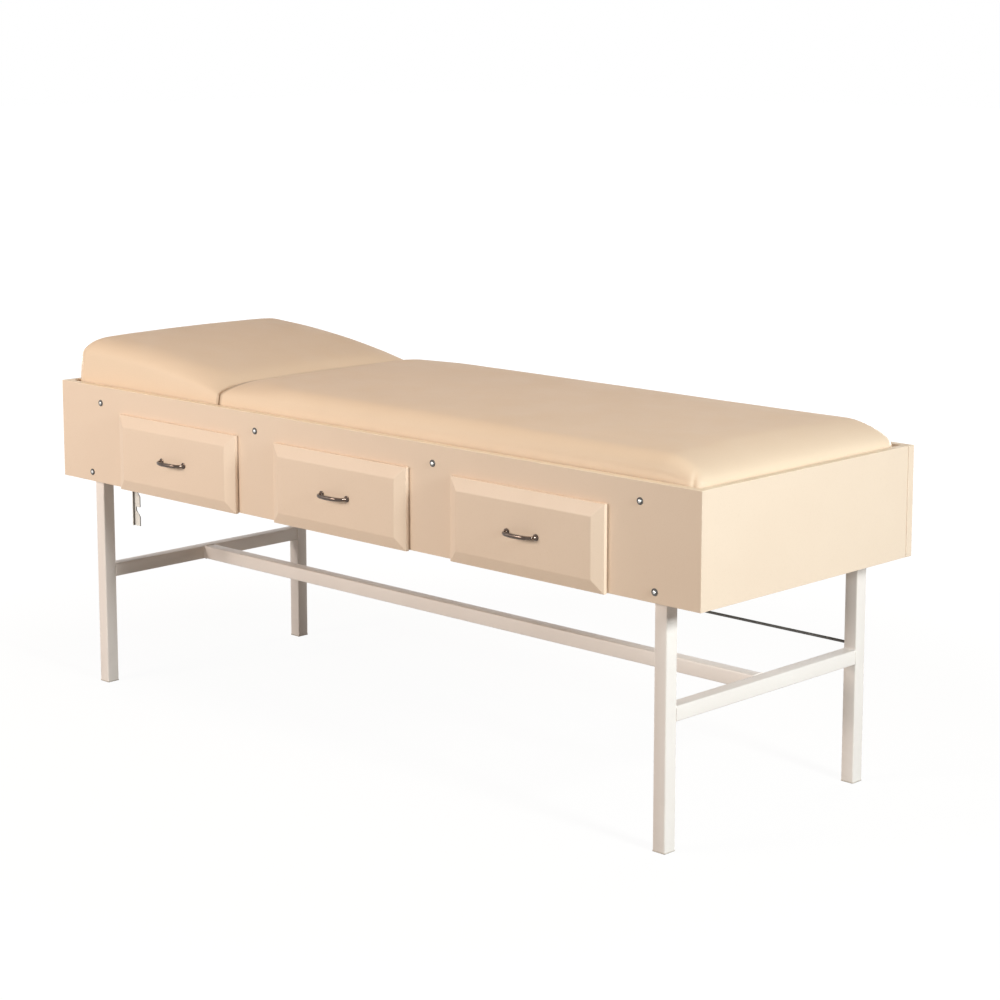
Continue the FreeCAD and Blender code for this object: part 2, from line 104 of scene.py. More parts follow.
# Grid of the pads
fine_step = 0.0045
fine_band = 0.075
main_step = 0.012
head_step = 0.011
roll_steps = 8
crown_steps = 44
side_rows = 6

# Filling of the pads
cloth_frames = 20
cloth_settings = {
    "quality": 5,
    "mass": 0.3,
    "tension_stiffness": 22,
    "compression_stiffness": 22,
    "shear_stiffness": 8,
    "bending_stiffness": 4,
    "use_pressure": True,
    "uniform_pressure_force": 4,
}
held_base = 0.008        # height over which the cover comes free of the board
main_held = 0.06         # the same along each pad from the seam
head_held = 0.05
swell_cap = 0.0045
swell_rounds = 12

# Folds at the pads' corners
fold_turn = math.radians(66)  # from the length of the table
fold_depth = 0.0035
fold_width = 0.0035
fold_reach = 0.030
fold_span = 0.050
fold_fade = 0.7          # power by which a fold runs out upwards
lip_height = 0.0016
lip_place = 0.010
lip_width = 0.007
main_fold_top = 0.034
head_fold_top = 0.060

# Square tubes and their welds
tube_r = 0.0026
tube_corner_steps = 4
bead_r = 0.0017
bead_sides = 8
bead_step = 0.0016

# Handles; a foot's profile is pairs of distance from the drawer and radius
handle_foot = (
    (0.0, 0.0064), (0.0007, 0.0068), (0.0016, 0.0066),
    (0.0021, 0.0056), (0.0030, 0.0044), (0.0046, 0.0035),
)
bow_depth = 0.0225
bow_power = 2 / 2.8      # squareness of the bow
bow_steps = 44
bow_foot_steps = 3       # steps of the bow that each foot takes up
bow_tall = 0.0029        # half sizes of the bar's section beside the feet
bow_thick = 0.0026
bow_swell_tall = 0.0014  # what the middle of the bow adds to them
bow_swell_thick = 0.0002
handle_sides = 24

# Panel screws and cup washers; profiles are pairs of radius and height over the panel
screw_sides = 32
screw_profile = ((0.0036, 0.0), (0.0036, 0.0012), (0.0034, 0.0019), (0.0030, 0.0025), (0.0023, 0.0029))
cup_profile = (
    (0.0037, 0.0003), (0.0046, 0.0010), (0.0056, 0.0017),
    (0.0066, 0.0016), (0.0072, 0.0009), (0.0072, 0.0),
)
recess_depth = 0.0014
recess_arm = 0.0020
recess_core = 0.0007
recess_arm_cosine = 0.965
screw_turn_first = 0.2
screw_turn_step = 0.6
row_screws = 4
row_reach = 0.805
row_z = (rail_low.z + rail_high.z) / 2
leg_screw_x = (leg_low.x + leg_high.x) / 2
leg_screw_z = front_low.z + 0.021

# Broken edges of the solids that stay
board_edge = 0.0009
box_edge = 0.0006
sheet_edge = 0.0004
plug_edge = 0.0008
same_place = 0.00002     # points closer than this are one
sharp_angle = math.radians(28)


# Node trees

class Graph:
    """Short calls that add nodes to a tree and feed their sockets."""

    def __init__(self, tree):
        self.tree = tree

    def add(self, kind, **settings):
        node = self.tree.nodes.new(kind)
        for key, value in settings.items():
            setattr(node, key, value)
        return node

    def feed(self, socket, value):
        if isinstance(value, bpy.types.NodeSocket):
            self.tree.links.new(value, socket)
        else:
            socket.default_value = value

    def remap(self, value, low, high, to_low, to_high):
        """The value's range from low to high becomes the range from to_low to to_high."""
        node = self.add("ShaderNodeMapRange")
        self.feed(node.inputs["Value"], value)
        node.inputs["From Min"].default_value = low
        node.inputs["From Max"].default_value = high
        node.inputs["To Min"].default_value = to_low
        node.inputs["To Max"].default_value = to_high
        return node.outputs["Result"]

    def sums(self, operation, first, second=0):
        node = self.add("ShaderNodeMath", operation=operation)
        self.feed(node.inputs[0], first)
        self.feed(node.inputs[1], second)
        return node.outputs[0]

    def part(self, vector, axis):
        """One coordinate of a vector."""
        node = self.add("ShaderNodeSeparateXYZ")
        self.feed(node.inputs[0], vector)
        return node.outputs[axis]

    def glow(self, kind, color, strength):
        """A shader that gives off light."""
        node = self.add(kind)
        node.inputs["Color"].default_value = (*color, 1)
        node.inputs["Strength"].default_value = strength
        return node.outputs[0]

    def shown_rays(self):
        """1 for rays that show the background: straight from the camera, mirrored or passed through."""
        path = self.add("ShaderNodeLightPath")
        total = path.outputs["Is Camera Ray"]
        for name in ("Is Glossy Ray", "Is Transmission Ray"):
            total = self.sums("MAXIMUM", total, path.outputs[name])
        return total

    def show_mix(self, output, share, first, second):
        """Ends the tree with two shaders mixed by a share of the second."""
        mix = self.add("ShaderNodeMixShader")
        for socket, value in zip(mix.inputs, (share, first, second)):
            self.feed(socket, value)
        self.feed(self.add(output).inputs[0], mix.outputs[0])


class Surface(Graph):
    """A procedural material: one Principled shader and the nodes that feed it."""

    # The mix node has sockets for each kind of data; these are the colours
    mix_first = 6
    mix_second = 7
    mix_result = 2

    def __init__(self, name, roughness, metallic=0.0, specular=0.5):
        self.material = bpy.data.materials.new(name)
        self.material.use_nodes = True
        super().__init__(self.material.node_tree)
        self.shader = self.tree.nodes["Principled BSDF"]
        self.shader.inputs["Roughness"].default_value = roughness
        self.shader.inputs["Metallic"].default_value = metallic
        self.shader.inputs["Specular IOR Level"].default_value = specular
        self.place = self.add("ShaderNodeTexCoord").outputs["Object"]

    def stretched(self, scale):
        node = self.add("ShaderNodeMapping")
        node.inputs["Scale"].default_value = scale
        self.feed(node.inputs["Vector"], self.place)
        return node.outputs["Vector"]

    def noise(self, scale, detail=3.0, rough=0.55, vector=None):
        node = self.add("ShaderNodeTexNoise")
        self.feed(node.inputs["Vector"], vector or self.place)
        node.inputs["Scale"].default_value = scale
        node.inputs["Detail"].default_value = detail
        node.inputs["Roughness"].default_value = rough
        return node.outputs["Fac"]

    def cells(self, scale, feature="DISTANCE_TO_EDGE"):
        node = self.add("ShaderNodeTexVoronoi", feature=feature)
        self.feed(node.inputs["Vector"], self.place)
        node.inputs["Scale"].default_value = scale
        return node.outputs["Distance"]

    def blend(self, share, first, second):
        """Two colours mixed by a share of the second."""
        node = self.add("ShaderNodeMix", data_type="RGBA")
        self.feed(node.inputs["Factor"], share)
        for number, color in ((self.mix_first, first), (self.mix_second, second)):
            if not isinstance(color, bpy.types.NodeSocket):
                color = (*color, 1)
            self.feed(node.inputs[number], color)
        return node.outputs[self.mix_result]

    def edges(self, radius):
        """1 along sharp edges and 0 on plain faces."""
        rounded = self.add("ShaderNodeBevel", samples=4)
        rounded.inputs["Radius"].default_value = radius
        dot = self.add("ShaderNodeVectorMath", operation="DOT_PRODUCT")
        self.feed(dot.inputs[0], rounded.outputs["Normal"])
        self.feed(dot.inputs[1], self.facing())
        return self.remap(dot.outputs["Value"], 0.82, 0.995, 1.0, 0.0)

    def facing(self):
        """Direction that the surface faces."""
        return self.add("ShaderNodeNewGeometry").outputs["Normal"]

    def bump(self, height, strength, distance, under=None):
        node = self.add("ShaderNodeBump")
        node.inputs["Strength"].default_value = strength
        node.inputs["Distance"].default_value = distance
        self.feed(node.inputs["Height"], height)
        if under is not None:
            self.feed(node.inputs["Normal"], under)
        return node.outputs["Normal"]

    def finish(self, color, roughness, normal):
        self.feed(self.shader.inputs["Base Color"], color)
        self.feed(self.shader.inputs["Roughness"], roughness)
        self.feed(self.shader.inputs["Normal"], normal)
        return self.material


# Materials

def cream_laminate():
    """Satin foil on board: faint clouding, fine fibre speckle, edges paler from wear and painted highlight, and a
    painted highlight on the panels' upper edge.
    """
    s = Surface("cream_laminate", 0.42, specular=0.42)
    cloud = s.remap(s.noise(2.6, 3), 0.3, 0.7, 0, 1)
    base = s.blend(cloud, (0.812, 0.634, 0.490), (0.837, 0.662, 0.516))
    speck = s.remap(s.noise(340, 2), 0.58, 0.74, 0, 0.16)
    base = s.blend(speck, base, (0.66, 0.48, 0.33))
    # Edges made paler: partly wear, partly painted highlight where the edges catch the light
    wear_and_edge_highlight = s.sums("MULTIPLY", s.edges(0.0016), s.remap(s.noise(60, 3), 0.35, 0.7, 0.1, 0.5))
    base = s.blend(wear_and_edge_highlight, base, (0.90, 0.76, 0.61))
    # Painted highlight: the tops of the case panels made paler, where the rim catches the light
    band = s.remap(s.part(s.place, "Z"), case_top - 0.0012, case_top - 0.0004, 0.0, 0.7)
    base = s.blend(band, base, (0.93, 0.79, 0.60))
    rough = s.remap(s.noise(26, 4), 0.25, 0.75, 0.36, 0.50)
    peel = s.bump(s.noise(150, 2), 0.05, 0.0006)
    return s.finish(base, rough, s.bump(s.noise(900, 2), 0.10, 0.0001, peel))


def cream_tube():
    """Powder coat on steel: fine orange peel, chips along edges and dust near the floor."""
    s = Surface("cream_tube", 0.36)
    cloud = s.remap(s.noise(5, 3), 0.3, 0.7, 0, 1)
    base = s.blend(cloud, (0.868, 0.782, 0.728), (0.896, 0.817, 0.766))
    low = s.remap(s.part(s.place, "Z"), 0.02, 0.20, 0.55, 0.0)
    chips = s.remap(s.noise(210, 4), 0.62, 0.68, 0, 1)
    worn = s.sums("MULTIPLY", s.sums("MULTIPLY", s.edges(0.0022), chips), low)
    base = s.blend(worn, base, (0.33, 0.29, 0.26))
    dust = s.sums("MULTIPLY", s.remap(s.noise(34, 5), 0.45, 0.75, 0, 0.22), low)
    base = s.blend(dust, base, (0.55, 0.47, 0.40))
    rough = s.remap(s.noise(40, 4), 0.25, 0.75, 0.30, 0.44)
    peel = s.bump(s.noise(260, 2), 0.07, 0.0004)
    return s.finish(base, rough, s.bump(s.noise(1100, 2), 0.12, 0.00008, peel))


def seam_shade(s):
    """Share of painted shade in the crease between the pads, a band that widens upwards."""
    past = s.sums("SUBTRACT", s.part(s.place, "X"), seam_x - pad_clearance / 2)
    reach = s.remap(s.part(s.place, "Z"), board_top + 0.026, board_top + 0.050, 0.001, 0.022)
    return s.remap(s.sums("SUBTRACT", s.sums("ABSOLUTE", past), reach), 0.0, 0.010, 0.62, 0.0)


def beige_vinyl():
    """Upholstery vinyl: pebbled grain, soft clouding, slightly shinier where it is handled, and painted shade in
    the crease at the seam.
    """
    s = Surface("beige_vinyl", 0.46, specular=0.16)
    s.shader.inputs["Sheen Weight"].default_value = 0.02
    s.shader.inputs["Sheen Roughness"].default_value = 0.5
    cloud = s.remap(s.noise(3.2, 4), 0.3, 0.7, 0, 1)
    base = s.blend(cloud, (0.835, 0.652, 0.484), (0.865, 0.683, 0.514))
    grain = s.cells(620)
    pits = s.remap(grain, 0.0, 0.12, 0.10, 0.0)
    base = s.blend(pits, base, (0.56, 0.38, 0.24))
    fleck = s.remap(s.noise(420, 2), 0.60, 0.72, 0, 0.10)
    base = s.blend(fleck, base, (0.88, 0.70, 0.53))
    # Painted shade: the crease at the seam darkened where shade falls between the pads
    base = s.blend(seam_shade(s), base, (0.27, 0.17, 0.10))
    rough = s.remap(s.noise(14, 4), 0.25, 0.75, 0.40, 0.54)
    waves = s.bump(s.noise(34, 3), 0.10, 0.0022)
    pebble = s.bump(s.remap(grain, 0.0, 0.35, 0.0, 1.0), 0.16, 0.00022, waves)
    return s.finish(base, rough, s.bump(s.noise(1500, 2), 0.08, 0.0001, pebble))


def plain_board():
    """Sanded plywood: long grain, pores and darker growth bands."""
    s = Surface("plain_board", 0.6, specular=0.3)
    grain = s.noise(1.0, 6, 0.62, s.stretched((9, 160, 160)))
    base = s.blend(s.remap(grain, 0.3, 0.72, 0, 1), (0.60, 0.45, 0.29), (0.74, 0.60, 0.43))
    bands = s.noise(1.0, 3, 0.5, s.stretched((2.2, 26, 26)))
    base = s.blend(s.remap(bands, 0.48, 0.7, 0, 0.45), base, (0.52, 0.36, 0.21))
    pores = s.remap(s.noise(1.0, 2, 0.5, s.stretched((60, 900, 900))), 0.62, 0.7, 0, 0.5)
    base = s.blend(pores, base, (0.36, 0.24, 0.14))
    rough = s.remap(grain, 0.3, 0.7, 0.52, 0.68)
    return s.finish(base, rough, s.bump(grain, 0.18, 0.0004))


def dark_nickel():
    """Polished dark nickel under lacquer: smudges, faint polishing lines, brighter rubbed spots."""
    s = Surface("dark_nickel", 0.16, metallic=1.0)
    s.shader.inputs["Coat Weight"].default_value = 0.35
    s.shader.inputs["Coat Roughness"].default_value = 0.08
    smudge = s.remap(s.noise(160, 4), 0.35, 0.7, 0, 1)
    base = s.blend(smudge, (0.078, 0.053, 0.041), (0.112, 0.080, 0.062))
    worn = s.remap(s.noise(420, 3), 0.6, 0.75, 0, 0.35)
    base = s.blend(worn, base, (0.24, 0.19, 0.155))
    rough = s.remap(smudge, 0, 1, 0.12, 0.24)
    lines = s.noise(1.0, 2, 0.5, s.stretched((160, 2600, 2600)))
    return s.finish(base, rough, s.bump(lines, 0.04, 0.0001))


def spangled(s, first, second, dull, dull_share):
    """Colour of zinc plate: spangle in two colours under dull handling marks."""
    base = s.blend(s.remap(s.cells(260, "F1"), 0.1, 0.7, 0, 1), first, second)
    return s.blend(s.remap(s.noise(38, 4), 0.5, 0.72, 0, dull_share), base, dull)


def rolled_lines(s):
    """Fine lines that rolling leaves on sheet."""
    return s.bump(s.noise(1.0, 2, 0.5, s.stretched((900, 40, 900))), 0.07, 0.0002)


def zinc_steel():
    """Zinc plate: rolled lines, pale spangle and dull handling marks."""
    s = Surface("zinc_steel", 0.36, metallic=1.0)
    base = spangled(s, (0.70, 0.69, 0.67), (0.79, 0.78, 0.76), (0.55, 0.54, 0.52), 0.55)
    rough = s.remap(s.noise(70, 4), 0.25, 0.75, 0.28, 0.46)
    return s.finish(base, rough, rolled_lines(s))


def strut_plate():
    """Zinc plate of the struts: pale broad faces, and painted shade that makes the flange and the edges round the
    notches near black.
    """
    s = Surface("strut_plate", 0.44, metallic=0.25)
    base = spangled(s, (0.86, 0.83, 0.78), (0.93, 0.90, 0.85), (0.72, 0.68, 0.63), 0.4)
    # Painted shade: every face that does not face the front or back darkened to near black
    painted_side_shade = s.remap(s.sums("ABSOLUTE", s.part(s.facing(), "Y")), 0.25, 0.75, 0.92, 0.0)
    base = s.blend(painted_side_shade, base, (0.060, 0.050, 0.043))
    rough = s.remap(s.noise(70, 4), 0.25, 0.75, 0.36, 0.52)
    return s.finish(base, rough, rolled_lines(s))


def plug_plastic():
    """Moulded pale plastic with a fine matte texture, grey scuffs and grime at the floor."""
    s = Surface("plug_plastic", 0.55, specular=0.4)
    scuff = s.remap(s.noise(180, 4), 0.55, 0.72, 0, 0.6)
    base = s.blend(scuff, (0.70, 0.62, 0.54), (0.34, 0.31, 0.28))
    grime = s.remap(s.part(s.place, "Z"), 0.0002, 0.0014, 0.75, 0.0)
    base = s.blend(grime, base, (0.16, 0.145, 0.13))
    rough = s.remap(s.noise(300, 3), 0.3, 0.7, 0.48, 0.66)
    return s.finish(base, rough, s.bump(s.noise(1300, 2), 0.25, 0.0002))


def dark_rod():
    """Dark paint on steel, thin in places; on the cup washers it is painted shade round the screw heads."""
    s = Surface("dark_rod", 0.42)
    thin = s.remap(s.noise(120, 4), 0.58, 0.72, 0, 0.5)
    base = s.blend(thin, (0.085, 0.080, 0.075), (0.24, 0.23, 0.22))
    rough = s.remap(s.noise(90, 3), 0.3, 0.7, 0.34, 0.52)
    return s.finish(base, rough, s.bump(s.noise(700, 2), 0.15, 0.0002))


paints = {
    "cream_laminate": cream_laminate(),
    "cream_tube": cream_tube(),
    "beige_vinyl": beige_vinyl(),
    "plain_board": plain_board(),
    "dark_nickel": dark_nickel(),
    "zinc_steel": zinc_steel(),
    "plug_plastic": plug_plastic(),
    "dark_rod": dark_rod(),
}


# Meshes

def mesh_object(name, points, faces, smooth=True):
    """New mesh object from points and faces, with its faces turned outwards."""
    mesh = bpy.data.meshes.new(name)
    mesh.from_pydata([tuple(p) for p in points], [], faces)
    mesh.validate()
    net = bmesh.new()
    net.from_mesh(mesh)
    bmesh.ops.recalc_face_normals(net, faces=net.faces)
    net.to_mesh(mesh)
    net.free()
    mesh.polygons.foreach_set("use_smooth", [smooth] * len(mesh.polygons))
    mesh.update()
    obj = bpy.data.objects.new(name, mesh)
    scene.collection.objects.link(obj)
    return obj


def add_rings(points, faces, rings, closed=False):
    """Adds rings of points joined by quads: in a closed loop, or with caps on both ends."""
    base = len(points)
    sides = len(rings[0])
    for ring in rings:
        points += ring
    starts = [base + i * sides for i in range(len(rings))]
    ends = starts[1:] + starts[:1] if closed else starts[1:]
    for here, there in zip(starts, ends):
        for k in range(sides):
            after = (k + 1) % sides
            faces.append([here + k, here + after, there + after, there + k])
    if not closed:
        for start in (starts[0], starts[-1]):
            faces.append(list(range(start, start + sides)))


def vectors(mesh, name):
    """Places or normals of a mesh's points, one row for each."""
    values = np.zeros(len(mesh.vertices) * 3)
    mesh.vertices.foreach_get(name, values)
    return values.reshape(-1, 3)


def move_points(mesh, places):
    """Puts a mesh's points at new places."""
    mesh.vertices.foreach_set("co", places.ravel())
    mesh.update()


def dress(obj, body, slot, *replaced):
    """Material, slot, body and the solids that the piece stands for."""
    obj.data.materials.clear()
    obj.data.materials.append(paints[slot])
    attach(obj, body)
    if replaced:
        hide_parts(*replaced)
    return obj


def shade_by_angle(obj, degrees):
    """Sharp edges on a smooth mesh where faces meet at more than an angle."""
    obj.data.set_sharp_from_angle(angle=math.radians(degrees))


def ease_edges(node, width):
    """Broken edges on a solid that stays as it is, made by modifiers alone."""
    weld = nodes[node].modifiers.new("join", "WELD")
    weld.merge_threshold = same_place
    bevel = nodes[node].modifiers.new("ease", "BEVEL")
    bevel.width = width
    bevel.segments = 2
    bevel.limit_method = "ANGLE"
    bevel.angle_limit = sharp_angle
    bevel.use_clamp_overlap = True


# Shape of the pads

def spaced(length, coarse):
    """Steps from 0 to length: fine within a band at both ends and coarse between."""
    n_band = max(int(round(fine_band / fine_step)), 1)
    n_mid = max(int(round((length - 2 * fine_band) / coarse)), 1)
    first = np.linspace(0, fine_band, n_band + 1)
    middle = np.linspace(fine_band, length - fine_band, n_mid + 1)[1:-1]
    return np.concatenate([first, middle, length - first[::-1]])


def clipped(u):
    """A number held between 0 and 1."""
    return min(max(u, 0), 1)


def corner_pull(distance):
    """How far a rounded corner pulls the side in at a distance from the pad's end."""
    short = min(max(pad_corner_r - distance, 0), pad_corner_r)
    return pad_corner_r - math.sqrt(pad_corner_r ** 2 - short ** 2)


def drawn_in(x, x0, x1):
    """How far the long sides pull in at x, between the pad's ends."""
    u = (2 * x - x0 - x1) / (x1 - x0)
    return pad_draw_in * (1 - min(u * u, 1))


def fullness(*rolls):
    """Height of a rolled edge, 0 to 1, from distances to its edges in widths of their rolls."""
    full = 1.0
    for u in rolls:
        full *= math.sqrt(1 - (1 - clipped(u)) ** 2)
    return full


def slope(u):
    """Height of the sloped foot end, 0 to 1, at a distance from it in lengths of the slope."""
    return (1 - (1 - clipped(u)) ** slope_top_power) ** slope_foot_power


def spread(place, half, roll):
    """Distance across a pad for a place: -1 to 1 over the flat top, out to 2 over the rolled edges."""
    if abs(place) <= 1:
        return place * (half - roll)
    return math.copysign(half - roll + roll * math.sin((abs(place) - 1) * math.pi / 2), place)


def crown(y, half, full):
    """Rise of a pad's middle at a distance across it."""
    return pad_crown * full * (1 - (y / half) ** 2)


def main_section(x, across):
    """The long pad's top at x: a distance across and a height for each place across."""
    to_end = pad_end_x - pad_shrink - x
    half = pad_half - pad_shrink - side_lean
    half -= corner_pull(to_end) + drawn_in(x, seam_x, pad_end_x)
    near = max(1 - max(x - seam_x, 0) / joint_fade, 0)
    roll = pad_roll + (seam_roll - pad_roll) * near ** 2
    if x < axis_x:
        limit = axis_z - board_top + math.sqrt(max(joint_r ** 2 - (axis_x - x) ** 2, 0))
    else:
        limit = pad_height + joint_drop * (1 - max(1 - (x - axis_x) / joint_fall, 0) ** 2)
    low = foot_side + (pad_side - foot_side) * min(to_end / foot_slope, 1)
    side = low + (seam_side - low) * near
    line = []
    for place in across:
        y = spread(place, half, roll)
        full = slope(to_end / foot_slope) * fullness((half - abs(y)) / roll)
        top = side + (pad_height - pad_shrink - side) * full + crown(y, half, full)
        line.append((y, min(top, limit - pad_shrink)))
    return line


def head_section(x, across):
    """The same for the wedge pad of the head section."""
    seam_face = seam_x - pad_clearance
    outer_face = -pad_end_x + pad_shrink
    up = math.sin(math.pi / 2 * (seam_face - x) / (seam_face - outer_face))
    half = pad_half - pad_shrink - side_lean
    half -= corner_pull(x - outer_face) + drawn_in(x, outer_face, seam_face)
    near = max(1 - (seam_face - x) / joint_fade, 0)
    roll = head_roll + (head_seam_roll - head_roll) * near ** 2
    side = head_side_low + (head_side_high - head_side_low) * up
    height = head_low + head_rise * up - pad_shrink - pad_crown
    ends = fullness((x - outer_face) / head_outer_end_roll, (seam_face - x) / head_seam_end_roll)
    line = []
    for place in across:
        y = spread(place, half, roll)
        full = ends * fullness((half - abs(y)) / roll)
        line.append((y, side + (height - side) * full + crown(y, half, full)))
    return line


def pad_mesh(name, stations, section):
    """Closed grid over a pad, with a column of points for each place across: top, base, sides and ends."""
    turn = [1 + i / roll_steps for i in range(1, roll_steps + 1)]
    across = [-t for t in reversed(turn)] + list(np.linspace(-1, 1, crown_steps + 1)) + turn
    last = len(stations) - 1
    last_column = len(across) - 1
    points = []
    index = {}
    for i, x in enumerate(stations):
        for j, (y, z) in enumerate(section(x, across)):
            on_side = i in (0, last) or j in (0, last_column)
            levels = range(side_rows + 1) if on_side else (0, side_rows)
            for k in levels:
                lean = side_lean * (1 - (k / side_rows) ** 2) * y / pad_half
                index[i, j, k] = len(points)
                points.append((x, mid_y + y + lean, board_top + z * k / side_rows))
    faces = []

    def quad(*keys):
        faces.append([index[key] for key in keys])

    # A side or end is wound outwards by the order of its lower and upper row
    top = side_rows
    for i in range(last):
        for j in range(last_column):
            quad((i, j, top), (i + 1, j, top), (i + 1, j + 1, top), (i, j + 1, top))
            quad((i, j, 0), (i, j + 1, 0), (i + 1, j + 1, 0), (i + 1, j, 0))
        for k in range(side_rows):
            for j, first, second in ((0, k, k + 1), (last_column, k + 1, k)):
                quad((i, j, first), (i + 1, j, first), (i + 1, j, second), (i, j, second))
    for i, upwards in ((0, False), (last, True)):
        for j in range(last_column):
            for k in range(side_rows):
                first, second = (k, k + 1) if upwards else (k + 1, k)
                quad((i, j, first), (i, j + 1, first), (i, j + 1, second), (i, j, second))
    return mesh_object(name, points, faces)


# Filling and folds of the pads

def evened(mesh, values, rounds):
    """Values at the points of a mesh, each drawn towards the mean of its neighbours a number of times."""
    ends = np.zeros(len(mesh.edges) * 2, dtype=np.int64)
    mesh.edges.foreach_get("vertices", ends)
    a, b = ends.reshape(-1, 2).T
    degree = np.bincount(ends, minlength=len(values)).astype(float)
    for _ in range(rounds):
        total = np.zeros_like(values)
        np.add.at(total, a, values[b])
        np.add.at(total, b, values[a])
        values = 0.5 * values + 0.5 * total / degree[:, None]
    return values


def held_shares(places, end, held):
    """Share of each point that stays put: all at the base and at the seam, and less away from them."""
    base = 1 - (places[:, 2] - board_top) / held_base
    seam = 1 - end * (places[:, 0] - seam_x) / held
    return np.clip(np.maximum(base, seam), 0, 1)


def after_cloth(obj, weights):
    """Places of a pad's points after a cloth simulation with pressure inside; weights are held shares."""
    group = obj.vertex_groups.new(name="held")
    for i, weight in enumerate(weights):
        if weight > 0:
            group.add([i], float(weight), "REPLACE")
    cloth = obj.modifiers.new("swell", "CLOTH")
    for key, value in cloth_settings.items():
        setattr(cloth.settings, key, value)
    cloth.settings.effector_weights.gravity = 0
    cloth.settings.vertex_group_mass = group.name
    cloth.collision_settings.use_collision = False
    cloth.collision_settings.use_self_collision = False
    cloth.point_cache.frame_start = 1
    cloth.point_cache.frame_end = cloth_frames
    for step in range(1, cloth_frames + 1):
        scene.frame_set(step)
    shown = obj.evaluated_get(bpy.context.evaluated_depsgraph_get())
    after = vectors(shown.data, "co")
    obj.modifiers.remove(cloth)
    obj.vertex_groups.remove(group)
    scene.frame_set(1)
    return after


def swell(obj, end, held):
    """Fills a pad by simulation. Moves are capped, evened and never go inwards."""
    tiny = 1e-9
    mesh = obj.data
    before = vectors(mesh, "co")
    weights = held_shares(before, end, held)
    move = after_cloth(obj, weights) - before
    size = np.linalg.norm(move, axis=1)
    limit = swell_cap * (1 - weights)
    capped = limit * np.tanh(size / np.maximum(limit, 1e-6))
    move = move * np.where(size > tiny, capped / np.maximum(size, tiny), 0)[:, None]
    normals = vectors(mesh, "normal")
    inward = np.minimum((move * normals).sum(axis=1), 0)
    move = evened(mesh, move - inward[:, None] * normals, swell_rounds)
    move_points(mesh, before + move * (weights < 1)[:, None])


def subdivided(obj):
    """One level of subdivision, applied."""
    modifier = obj.modifiers.new("fine", "SUBSURF")
    modifier.levels = 1
    modifier.render_levels = 1
    graph = bpy.context.evaluated_depsgraph_get()
    fine = bpy.data.meshes.new_from_object(obj.evaluated_get(graph))
    obj.modifiers.remove(modifier)
    old = obj.data
    obj.data = fine
    bpy.data.meshes.remove(old)
    obj.data.polygons.foreach_set("use_smooth", [True] * len(obj.data.polygons))


def corner_folds(obj, end, top):
    """Folds at the corners of a pad's end: a tuck of the cover rising from the base, beside a soft lip."""
    places = vectors(obj.data, "co")
    for side in (-1, 1):
        dx = end * math.cos(fold_turn)
        dy = side * math.sin(fold_turn)
        x = places[:, 0] - end * (pad_end_x - pad_corner_r) - pad_corner_r * dx
        y = places[:, 1] - mid_y - side * (pad_half - pad_corner_r) - pad_corner_r * dy
        across = end * side * (x * dy - y * dx)
        near = (x * dx + y * dy > -fold_reach) & (np.abs(across) < fold_span)
        fade = np.clip(1 - (places[:, 2] - board_top) / top, 0, 1) ** fold_fade
        tuck = fold_depth * np.exp(-(across / fold_width) ** 2)
        lip = lip_height * np.exp(-((across - lip_place) / lip_width) ** 2)
        step = np.where(near, (lip - tuck) * fade, 0)
        places[:, 0] += dx * step
        places[:, 1] += dy * step
    move_points(obj.data, places)


def build_pads():
    """Long pad and wedge pad, filled by simulation, with their corner folds."""
    main_x = seam_x + seam_ease + spaced(pad_end_x - pad_shrink - seam_x, main_step)
    head_x = pad_shrink - pad_end_x + spaced(seam_x - pad_clearance + pad_end_x - pad_shrink, head_step)
    main = pad_mesh("main_pad", main_x, main_section)
    head = pad_mesh("head_pad", head_x, head_section)
    # Each pad with the side of the seam that it lies on, its held length and the height of its folds
    pads = ((main, 1, main_held, main_fold_top), (head, -1, head_held, head_fold_top))
    for obj, end, held, fold_top in pads:
        swell(obj, end, held)
        subdivided(obj)
        corner_folds(obj, end, fold_top)
    dress(main, "table", "beige_vinyl", "main_cushion")
    dress(head, "headrest", "beige_vinyl", "head_cushion")


# Square tubes

def placed(axis, along, u, v):
    """Point from its place along an axis and its places along the other two."""
    point = [u, v]
    point.insert(axis, along)
    return Vector(point)


def rounded_bar(name, low, high, axis):
    """Square tube with rounded corners, its ends closed by what it meets."""
    u, v = [a for a in range(3) if a != axis]
    rings = [[], []]
    for ring, along in zip(rings, (low[axis], high[axis])):
        for quarter, (right, upper) in enumerate(((1, 1), (0, 1), (0, 0), (1, 0))):
            centre_u = high[u] - tube_r if right else low[u] + tube_r
            centre_v = high[v] - tube_r if upper else low[v] + tube_r
            for i in range(tube_corner_steps + 1):
                a = math.pi / 2 * (quarter + i / tube_corner_steps)
                at_u = centre_u + tube_r * math.cos(a)
                at_v = centre_v + tube_r * math.sin(a)
                ring.append(placed(axis, along, at_u, at_v))
    points = []
    faces = []
    add_rings(points, faces, rings)
    obj = mesh_object(name, points, faces)
    shade_by_angle(obj, 40)
    return obj


def bar_outline(low, high, axis, along):
    """Closed line of points round a square bar at one end."""
    u, v = [a for a in range(3) if a != axis]
    pairs = ((low[u], low[v]), (high[u], low[v]), (high[u], high[v]), (low[u], high[v]))
    corners = [Vector(pair) for pair in pairs]
    line = []
    for corner, after in zip(corners, corners[1:] + corners[:1]):
        rounding = (after - corner).normalized() * tube_r
        start = corner + rounding
        stop = after - rounding
        count = int((stop - start).length / bead_step)
        line += [placed(axis, along, *start.lerp(stop, i / count)) for i in range(count)]
    return line


